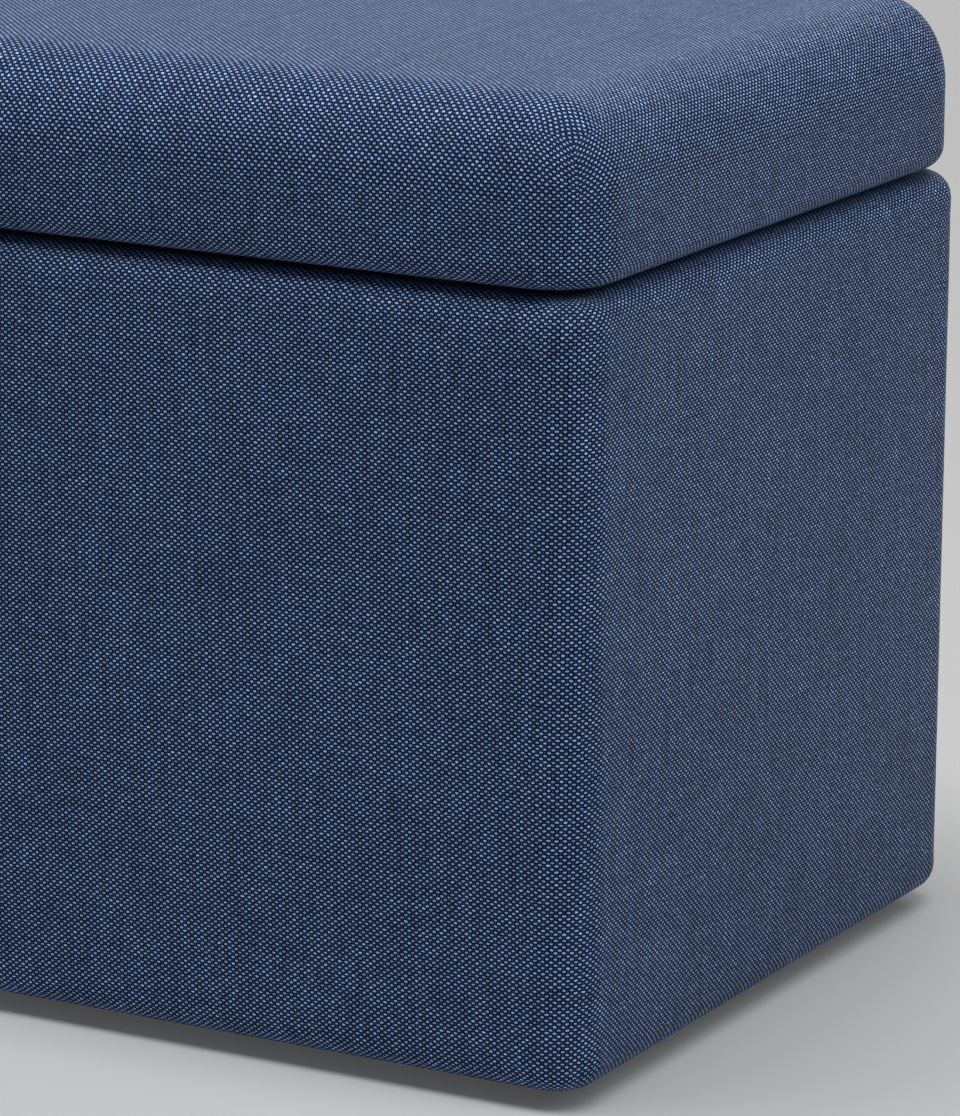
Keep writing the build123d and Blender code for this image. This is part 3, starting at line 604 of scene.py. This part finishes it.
def lid_side(cloth, side, row, length):
    """One side, from the middle of the top roll down and under."""
    along, across = half_of(side, LID_HALF)
    place, angle, count = row
    shoulder = LID_HIGH.z - LID_TOP_DROP
    edge = LID_YARNS[1 - side % 2] / 2 + LID_CORNER_YARNS
    x, y, z, down, deep = [], [], [], [], []
    for step in np.linspace(QUARTER, 0, LID_ROLL_STEPS + 1):
        rise = np.tan(step)
        flat = np.hypot(np.tan(angle), 1)
        span = np.hypot(flat, rise)
        radius = LID_TOP_ROLL * flat / span
        t = place * (along - LID_CORNER) + radius * np.sin(angle)
        n = across - LID_CORNER + radius * np.cos(angle)
        sx, sy = turned(side, t, n)
        x.append(sx)
        y.append(sy)
        z.append(shoulder + LID_TOP_DROP * rise / span + crown(sx, sy))
        share = 1 - step / QUARTER
        down.append(edge + share * LID_LOWER_ROLL_YARNS)
        deep.append(share * QUARTER * LID_TOP_DROP)
    last = (0.0, shoulder)
    for inset, level, bulge in lid_profile():
        sx, sy = ring(side, LID_HALF, inset, LID_CORNER, row, bulge)
        x.append(sx)
        y.append(sy)
        z.append(np.full_like(sx, level))
        step = math.hypot(inset - last[0], level - last[1])
        last = (inset, level)
        down.append(down[-1] + step / PITCH_DOWN)
        deep.append(deep[-1] + step)
    cloth.grid(
        np.array(x),
        np.array(y),
        np.array(z),
        count[None, :] + shift(side, LID_YARNS, LID_CORNER_YARNS),
        -np.array(down)[:, None],
        length[None, :],
        np.array(deep)[:, None],
        flip=True,
    )


def lid_closing(cloth, rows, lengths):
    """The closing face over the lining, out of sight."""
    (px, ax, hx), (py, ay, hy) = rows
    a, b, reach = corner_reach(ax[None, :], ay[:, None])
    out = MITRE * np.maximum(np.abs(a), np.abs(b)) / np.where(reach > 0, reach, 1)
    inset = LID_HALF[0] - LID_LINING_HIGH.x
    x = px[None, :] * (LID_HALF[0] - inset - MITRE) + out * a
    y = py[:, None] * (LID_HALF[1] - inset - MITRE) + out * b
    z = np.full_like(x, LID_LOW.z + UNDER_GAP)
    deep = HIDDEN * lengths[1][:, None]
    cloth.grid(x, y, z, hx[None, :], hy[:, None], lengths[0][None, :], deep, flip=True)


def make_lid_cover():
    cloth = Cloth()
    rows, lengths = [], []
    for axis in (0, 1):
        straight = LID_HALF[axis] - LID_CORNER
        row = stations(2 * straight, LID_YARNS[axis], LID_CORNER_YARNS)
        rows.append(row)
        lengths.append(row[0] * straight + row[1] * LID_CORNER)
    lid_top(cloth, rows, lengths)
    for side in range(4):
        lid_side(cloth, side, rows[side % 2], lengths[side % 2])
    lid_closing(cloth, rows, lengths)
    return piece("lid_upholstery", cloth.mesh("lid_upholstery"), navy, "lid")


def lid_free(points):
    """1 on the lid's top and sides and 0 under it."""
    return ease(points[:, 2], LID_LOW.z + 3 * MM, LID_LOW.z + 18 * MM)


lid_upholstery = make_lid_cover()
settle(lid_upholstery, lid_free, 3.0 * MM, 0.35)
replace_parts(lid_upholstery, "lid_cover", "lid_cushion")

# ---------------------------------------------------------------- linings

LINING_CORNER = 5 * MM
LINING_FLOOR_ROLL = 3 * MM
LINING_PITCH = 1.3 * MM  # the spacing of the lining's embossed points
LINING_RINGS = 34
LINING_WAVE = 0.5 * MM
HELD_TOP = 30 * MM  # the walls' cloth frees itself over this length below its staples
HELD_FLOOR = 20 * MM  # and above the floor
HEM = 14 * MM
HEM_STEP = 0.3 * MM
HEM_SLOPE = 1.5 * MM
SLACK = 0.12 * MM
LINING_THICK = 0.8 * MM
FLAT_LINING_THICK = 0.55 * MM
FLAT_LINING_INSET = 0.3 * MM


def flat_patch(cloth, half, radius, rows, z, flip=False):
    """A flat rounded patch whose rim meets the rings of the same stations."""
    (px, ax, hx), (py, ay, hy) = rows
    a, b, reach = corner_reach(ax[None, :], ay[:, None])
    out = radius * np.maximum(np.abs(a), np.abs(b)) / np.where(reach > 0, reach, 1)
    x = px[None, :] * (half[0] - radius) + out * a
    y = py[:, None] * (half[1] - radius) + out * b
    along = px * half[0] + ax * radius
    deep = py * half[1] + ay * radius
    level = z(x, y) if callable(z) else np.full_like(x, z)
    cloth.grid(x, y, level, hx[None, :], hy[:, None], along[None, :], deep[:, None], flip=flip)


def ripple(x, y, z, seed):
    """A slow unevenness between -1 and 1, the same on every run."""
    return (
        np.sin(x * 21 + z * 13 + seed)
        + np.sin(y * 27 - z * 17 + 2.1 * seed)
        + np.sin(x * 47 + y * 39 + z * 31 + 3.3 * seed)
    ) / 3


def thicken(made, thickness):
    """The sheet gets its thickness, on its back."""
    shell = made.modifiers.new("thickness", "SOLIDIFY")
    shell.thickness = thickness
    shell.offset = -1.0
    shell.use_quality_normals = True


def lining_rows(half, corner):
    """The stations of a lining's long and short sides, counted in embossed points."""
    rows = []
    for axis in (0, 1):
        run = 2 * (half[axis] - corner)
        rows.append(stations(run, run / LINING_PITCH, corner * QUARTER / LINING_PITCH))
    return rows


def make_compartment_lining():
    cloth = Cloth()
    half = (LINING_HIGH.x - COVER, LINING_HIGH.y - COVER)
    floor_level = LINING_LOW.z + COVER
    rows = lining_rows(half, LINING_CORNER)
    levels = np.linspace(LINING_HIGH.z, floor_level + LINING_FLOOR_ROLL, LINING_RINGS)
    profile = [(0.0, level) for level in levels]
    for a in arc(4)[1:]:
        inset = LINING_FLOOR_ROLL * (1 - math.cos(a))
        profile.append((inset, floor_level + LINING_FLOOR_ROLL * (1 - math.sin(a))))
    travelled = [0.0]
    for first, second in zip(profile, profile[1:]):
        travelled.append(travelled[-1] + math.dist(first, second))
    travelled = np.array(travelled)
    for side in range(4):
        row = rows[side % 2]
        along = half_of(side, half)[0]
        ox, oy = turned(side, 0.0, 1.0)
        x, y, z = [], [], []
        for inset, level in profile:
            loose = min(1.0, (LINING_HIGH.z - level) / HELD_TOP, (level - floor_level) / HELD_FLOOR)
            px, py = ring(side, half, inset, LINING_CORNER, row)
            wave = LINING_WAVE * loose * (1 - row[0] ** 4) * (1 + ripple(px, py, level, 1.0 + side))
            x.append(px - ox * wave)
            y.append(py - oy * wave)
            z.append(np.full_like(px, level))
        length = row[0] * (along - LINING_CORNER) + row[1] * LINING_CORNER
        cloth.grid(
            np.array(x),
            np.array(y),
            np.array(z),
            row[2][None, :],
            travelled[:, None] / LINING_PITCH,
            length[None, :],
            travelled[:, None],
        )
    inner = tuple(h - LINING_FLOOR_ROLL for h in half)
    radius = max(LINING_CORNER - LINING_FLOOR_ROLL, MITRE)
    flat_patch(cloth, inner, radius, rows, floor_level)
    made = piece("storage_lining", cloth.mesh("storage_lining"), felt, "base")
    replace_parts(made, "compartment_lining")
    length, depth = 2 * LINING_HIGH.x, 2 * LINING_HIGH.y
    thicken(made, LINING_THICK)


def make_flat_lining(name, node, body):
    """A stapled sheet under a board: a double hem round a single middle."""
    cloth = Cloth()
    low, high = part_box(node)
    half = (high.x - FLAT_LINING_INSET, high.y - FLAT_LINING_INSET)

    def level(x, y):
        edge = np.minimum(half[0] - np.abs(x), half[1] - np.abs(y))
        rise = ((edge - HEM) / HEM_SLOPE).clip(0, 1)
        return low.z + rise * (HEM_STEP + SLACK * (1 + ripple(x, y, 0.0, 4.0)))

    flat_patch(cloth, half, MITRE, lining_rows(half, MITRE), level, flip=True)
    made = piece(name, cloth.mesh(name), felt, body)
    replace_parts(made, node)
    thicken(made, FLAT_LINING_THICK)


make_compartment_lining()
make_flat_lining("lid_underlining", "lid_lining", "lid")
make_flat_lining("bottom_dust_cover", "dust_cover", "base")

# ---------------------------------------------------------------- staples

STAPLE_PITCH = 42 * MM
STAPLE_WIDTH = 11 * MM
STAPLE_WIRE = 0.55 * MM
WIRE_SECTION = ((-1, -1, -1), (1, -1, 1), (1, 1, 0.7), (-1, 1, -0.7))  # narrower on top
STAPLE_TILT = 0.16
STAPLE_WANDER = 0.5 * MM
STAPLE_DEPTH = 1.2 * MM  # how far the legs go into the cloth
STAPLE_ROW_END = 12 * MM
STAPLE_INSET = 6 * MM  # the rows' place inside a lining's edge, and above the compartment's lining


def staple_row(work, start, end, out, jitter):
    """Staples along a line, their crowns on the cloth, each a little askew."""
    start, end, out = Vector(start), Vector(end), Vector(out)
    run = end - start
    count = max(2, round(run.length / STAPLE_PITCH))
    direction = run.normalized()
    side = out.cross(direction)
    half_wire = STAPLE_WIRE * 0.5
    reach = STAPLE_WIDTH / 2
    path = [(-reach, -STAPLE_DEPTH), (-reach, 0.05 * MM), (-reach * 0.93, STAPLE_WIRE * 0.8)]
    path += [(-x, h) for x, h in reversed(path)]
    for step in range(count):
        tilt = STAPLE_TILT * math.sin(7.3 * step + jitter)
        middle = start + run * ((step + 0.5) / count) + side * (STAPLE_WANDER * math.sin(3.1 * step + jitter))
        line = direction * math.cos(tilt) + side * math.sin(tilt)
        breadth = out.cross(line)
        rings = []
        for x, h in path:
            leg = 0.0 if abs(x) < reach else half_wire
            section = []
            for u, v, w in WIRE_SECTION:
                spot = middle + line * (x + leg * u) + out * (h + half_wire * v)
                section.append(work.verts.new(spot + breadth * (STAPLE_WIRE * w)))
            rings.append(section)
        for first, second in zip(rings, rings[1:]):
            for k in range(4):
                work.faces.new((first[k], first[(k + 1) % 4], second[(k + 1) % 4], second[k]))
        work.faces.new(rings[0][::-1])
        work.faces.new(rings[-1])


def hardware(name, work, body):
    """A finished bmesh as a zinc-plated piece."""
    bmesh.ops.recalc_face_normals(work, faces=work.faces)
    mesh = bpy.data.meshes.new(name)
    work.to_mesh(mesh)
    work.free()
    made = piece(name, mesh, zinc, body, merge=0, smooth=False)
    return made


def make_staples(name, lines, body):
    work = bmesh.new()
    for index, (start, end, out) in enumerate(lines):
        staple_row(work, start, end, out, 1.7 * index)
    hardware(name, work, body)


def under_lines(lining_high, level):
    """The four sides of a lining's rectangle, as staple lines that face down."""
    x, y = lining_high.x - STAPLE_INSET, lining_high.y - STAPLE_INSET
    down = (0, 0, -1)
    end = STAPLE_ROW_END
    return [
        ((-x + end, -y, level), (x - end, -y, level), down),
        ((x, -y + end, level), (x, y - end, level), down),
        ((x - end, y, level), (-x + end, y, level), down),
        ((-x, y - end, level), (-x, -y + end, level), down),
    ]


def wall_lines(x, y, level):
    """The compartment's four walls, as staple lines that face its middle."""
    return [
        ((-x, -y, level), (x, -y, level), (0, 1, 0)),
        ((x, -y, level), (x, y, level), (-1, 0, 0)),
        ((x, y, level), (-x, y, level), (0, -1, 0)),
        ((-x, y, level), (-x, -y, level), (1, 0, 0)),
    ]


walls = wall_lines(LINING_HIGH.x - COVER, LINING_HIGH.y - COVER, LINING_HIGH.z + STAPLE_INSET)
make_staples("turn_down_staples", walls, "base")
make_staples("lid_staples", under_lines(LID_LINING_HIGH, LID_LOW.z), "lid")
make_staples("bottom_staples", under_lines(DUST_HIGH, BASE_LOW.z), "base")

# ---------------------------------------------------------------- screws

CROSS_ARM = 0.56  # the cross's sizes are shares of the head's radius
CROSS_HALF = 0.13
CROSS_DEPTH = 0.45
CROSS_TAPER = 0.6
HEAD_BEVEL = 0.06
HEAD_POINTS = 4  # along the rim, for each of the cross's twelve corners
HEAD_SHARE = 0.94  # a round head in the CAD head's eight flats
SHANK_SHARE = 0.5
HINGE_SCREW = (1.2 * MM, 0.25 * MM)  # the depth of the head and the rise of its dome
STAY_SCREW = (1.3 * MM, 0.2 * MM)
GLIDE_SCREW = (2.2 * MM, 0.35 * MM)


def islands(name):
    """The boxes of a CAD node's separate solids."""
    mesh = nodes[name].data
    co = read_points(mesh)
    _, same = np.unique(np.round(co, 5), axis=0, return_inverse=True)
    same = same.ravel()
    group = np.arange(same.max() + 1)

    def root(i):
        while group[i] != i:
            group[i] = group[group[i]]
            i = group[i]
        return i

    for edge in mesh.edges:
        a, b = root(same[edge.vertices[0]]), root(same[edge.vertices[1]])
        if a != b:
            group[a] = b
    roots = np.array([root(i) for i in same])
    groups = [co[roots == r] for r in sorted(set(roots.tolist()))]
    return [(Vector(points.min(0)), Vector(points.max(0))) for points in groups]


def screw(work, top, axis, size, head_depth, length, spin, dome, pan):
    """A cross-head screw with its head's middle at top, pointing against axis. A pan head stands square.

    Size is the radius of the CAD head, of which the head and the shank take their shares.
    """
    head, shank = size * HEAD_SHARE, size * SHANK_SHARE
    axis = Vector(axis).normalized()
    first = axis.orthogonal().normalized()
    second = axis.cross(first)

    def at(x, y, h):
        c, s = math.cos(spin), math.sin(spin)
        return work.verts.new(top + first * (x * c - y * s) + second * (x * s + y * c) + axis * h)

    outline = []
    for quarter in range(4):
        c, s = round(math.cos(quarter * math.pi / 2)), round(math.sin(quarter * math.pi / 2))
        for x, y in ((CROSS_ARM, -CROSS_HALF), (CROSS_ARM, CROSS_HALF), (CROSS_HALF, CROSS_HALF)):
            outline.append((head * (x * c - y * s), head * (x * s + y * c)))
    upper = [at(x, y, dome) for x, y in outline]
    lower = [at(x * CROSS_TAPER, y * CROSS_TAPER, dome - CROSS_DEPTH * head) for x, y in outline]
    angles = [math.atan2(y, x) for x, y in outline]
    rim, starts = [], []
    for i, angle in enumerate(angles):
        following = angles[(i + 1) % 12]
        span = (following - angle) % (2 * math.pi)
        starts.append(len(rim))
        for k in range(HEAD_POINTS):
            rim.append(angle + span * k / HEAD_POINTS)
    bevel = HEAD_BEVEL * head
    outer = [(head - bevel, dome * 0.35), (head, -bevel)]
    if pan:
        outer = [(head * 0.86, 0.0), (head * 0.97, -0.3 * head_depth), (head, -head_depth)]
    tip = [(shank, -head_depth), (shank * 0.92, -length * 0.75), (shank * 0.2, -length)]
    rounds = []
    for radius, height in outer + tip:
        rounds.append([at(radius * math.cos(a), radius * math.sin(a), height) for a in rim])
    total = len(rim)
    for i in range(12):
        j = (i + 1) % 12
        end = starts[j] if j else total
        edge = [rounds[0][k % total] for k in range(starts[i], end + 1)]
        work.faces.new([upper[i]] + edge + [upper[j]])
        work.faces.new((upper[j], lower[j], lower[i], upper[i]))
    work.faces.new(lower)
    for ring_one, ring_two in zip(rounds, rounds[1:]):
        for k in range(total):
            work.faces.new((ring_one[k], ring_two[k], ring_two[(k + 1) % total], ring_one[(k + 1) % total]))
    work.faces.new(rounds[-1])


def make_screws(name, node, body, axis, facing, form, pan=False):
    """Screws in place of a CAD node's own. Facing is up or down the axis, or 0 for towards the bench's middle."""
    work = bmesh.new()
    head_depth, dome = form
    width = (axis + 1) % 3
    for index, (low, high) in enumerate(islands(node)):
        top = (low + high) / 2
        way = facing or -math.copysign(1, top[axis])
        top[axis] = high[axis] if way > 0 else low[axis]
        out = Vector((0, 0, 0))
        out[axis] = way
        size = (high[width] - low[width]) / 2
        length = high[axis] - low[axis]
        screw(work, top, out, size, head_depth, length, 0.7 + 1.9 * index, dome, pan)
    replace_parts(hardware(name, work, body), node)


X, Z = 0, 2
make_screws("hinge_base_cross_screws", "hinge_base_screws", "base", Z, 1, HINGE_SCREW)
make_screws("hinge_lid_cross_screws", "hinge_lid_screws", "lid", Z, -1, HINGE_SCREW)
make_screws("stay_base_cross_screws", "stay_base_screws", "base", X, 0, STAY_SCREW)
make_screws("stay_lid_cross_screws", "stay_lid_screws", "lid", Z, -1, STAY_SCREW)
make_screws("glide_cross_screws", "glide_screws", "base", Z, -1, GLIDE_SCREW, pan=True)

# ---------------------------------------------------------------- the rigid parts' finishes

# a word in a CAD material's name, and its finish
FINISHES = {
    "panel_wood": ply,
    "dowel_wood": ply,
    "glide_plastic": plastic,
    "bumper_rubber": rubber,
    "hinge_steel": zinc,
    "stay_steel": steel,
    "screw_steel": zinc,
    "lining_cloth": felt,
    "navy_fabric": navy,
    "foam": felt,
}
for node in nodes.values():
    for index, held in enumerate(node.data.materials):
        for word, finish in FINISHES.items():
            if word in held.name:
                node.material_slots[index].link = "OBJECT"
                node.material_slots[index].material = finish
                break

# ---------------------------------------------------------------- floor, light and camera

FLOOR_HALF = 9.0
FLOOR_LIFT = 0.06  # how far the floor's own paleness lifts its shadows
FLOOR_NEAR = 3.0  # where the floor starts to turn into the backdrop
FLOOR_FAR = 7.0
BACKDROP_PALE = 0.5
AMBIENT = 0.1  # the room's own light
SKY_PALE = 0.3  # and how pale it looks
floor_mesh = bpy.data.meshes.new("floor")
floor_corners = [(x * FLOOR_HALF, y * FLOOR_HALF, 0) for x, y in ((-1, -1), (1, -1), (1, 1), (-1, 1))]
floor_mesh.from_pydata(floor_corners, [], [(0, 1, 2, 3)])
floor = bpy.data.objects.new("floor", floor_mesh)
bpy.context.scene.collection.objects.link(floor)


def backdrop(name, colour, other):
    """A pale floor that lifts its own shadows a little for the camera, and stays pale far out."""
    t = Tree(name, Roughness=0.8)
    place = t.node("ShaderNodeTexCoord", (), 3)
    t.put(t.shader.inputs["Base Color"], t.blend(t.noise(place, 2.0), colour, other))
    away = t.node("ShaderNodeVectorMath", {0: place}, 1, operation="LENGTH")
    paleness = t.smooth(away, FLOOR_NEAR, FLOOR_FAR, FLOOR_LIFT, BACKDROP_PALE)
    seen = 0.0
    for ray in ("Is Camera Ray", "Is Glossy Ray", "Is Transmission Ray"):
        seen = t.sum("MAXIMUM", seen, t.node("ShaderNodeLightPath", (), ray))
    t.shader.inputs["Emission Color"].default_value = (1.0, 1.0, 1.0, 1.0)
    t.put(t.shader.inputs["Emission Strength"], t.sum("MULTIPLY", paleness, seen))
    return t.material


pale = backdrop("pale_floor", rgb(196, 196, 196), rgb(199, 199, 199))
floor_mesh.materials.append(pale)

world = bpy.data.worlds.new("room")
bpy.context.scene.world = world
world.use_nodes = True
sky = world.node_tree.nodes["Background"]
sky.inputs["Color"].default_value = (1.0, 1.0, 1.0, 1.0)
sky_nodes, sky_links = world.node_tree.nodes, world.node_tree.links
path = sky_nodes.new("ShaderNodeLightPath")
shown = path.outputs["Is Camera Ray"]
for ray in ("Is Glossy Ray", "Is Transmission Ray"):
    either = sky_nodes.new("ShaderNodeMath")
    either.operation = "MAXIMUM"
    sky_links.new(shown, either.inputs[0])
    sky_links.new(path.outputs[ray], either.inputs[1])
    shown = either.outputs[0]
level = sky_nodes.new("ShaderNodeMapRange")
level.inputs["To Min"].default_value = AMBIENT
level.inputs["To Max"].default_value = SKY_PALE
sky_links.new(shown, level.inputs["Value"])
sky_links.new(level.outputs["Result"], sky.inputs["Strength"])


def softbox(name, place, aim, size, power):
    lamp = bpy.data.lights.new(name, "AREA")
    lamp.shape = "RECTANGLE"
    lamp.size, lamp.size_y = size
    lamp.energy = power
    made = bpy.data.objects.new(name, lamp)
    bpy.context.scene.collection.objects.link(made)
    made.location = place
    made.rotation_mode = "QUATERNION"
    made.rotation_quaternion = (Vector(aim) - Vector(place)).to_track_quat("-Z", "Y")


softbox("overhead", (0.0, -0.9, 5.0), (0.0, -0.9, 0.0), (7.0, 2.5), 250)
softbox("right_side", (2.2, 0.0, 1.7), (0.2, 0.0, 0.35), (1.4, 1.4), 8)
softbox("backdrop", (-1.5, 6.0, 4.0), (-1.5, 6.0, 0.0), (5.0, 4.0), 135)

# The camera stands well back with a long lens, a little above the lid.
VIEW_AZIMUTH = math.radians(28.6616)
VIEW_RISE = math.radians(13.885)
VIEW_ROLL = math.radians(0.4416)
VIEW_DISTANCE = 2.7226
VIEW_LEFT = 0.0448  # the camera's place beside and above its line to the near corner
VIEW_UP = 0.0670
AIM_HEIGHT = 0.192
LENS = 198.87
SENSOR = 36.0
near_corner = Vector((BASE_HALF[0], -BASE_HALF[1], AIM_HEIGHT))
back = Vector((
    math.sin(VIEW_AZIMUTH) * math.cos(VIEW_RISE),
    -math.cos(VIEW_AZIMUTH) * math.cos(VIEW_RISE),
    math.sin(VIEW_RISE),
))
level_right = Vector((math.cos(VIEW_AZIMUTH), math.sin(VIEW_AZIMUTH), 0))
level_up = back.cross(level_right)
right = level_right * math.cos(VIEW_ROLL) + level_up * math.sin(VIEW_ROLL)
up = level_up * math.cos(VIEW_ROLL) - level_right * math.sin(VIEW_ROLL)
camera_data = bpy.data.cameras.new("camera")
camera_data.lens = LENS
camera_data.sensor_width = SENSOR
camera = bpy.data.objects.new("camera", camera_data)
bpy.context.scene.collection.objects.link(camera)
camera.matrix_world = Matrix((right, up, back)).transposed().to_4x4()
camera.location = near_corner - right * VIEW_LEFT + up * VIEW_UP + back * VIEW_DISTANCE
bpy.context.scene.camera = camera
bpy.context.scene.view_settings.view_transform = "Standard"
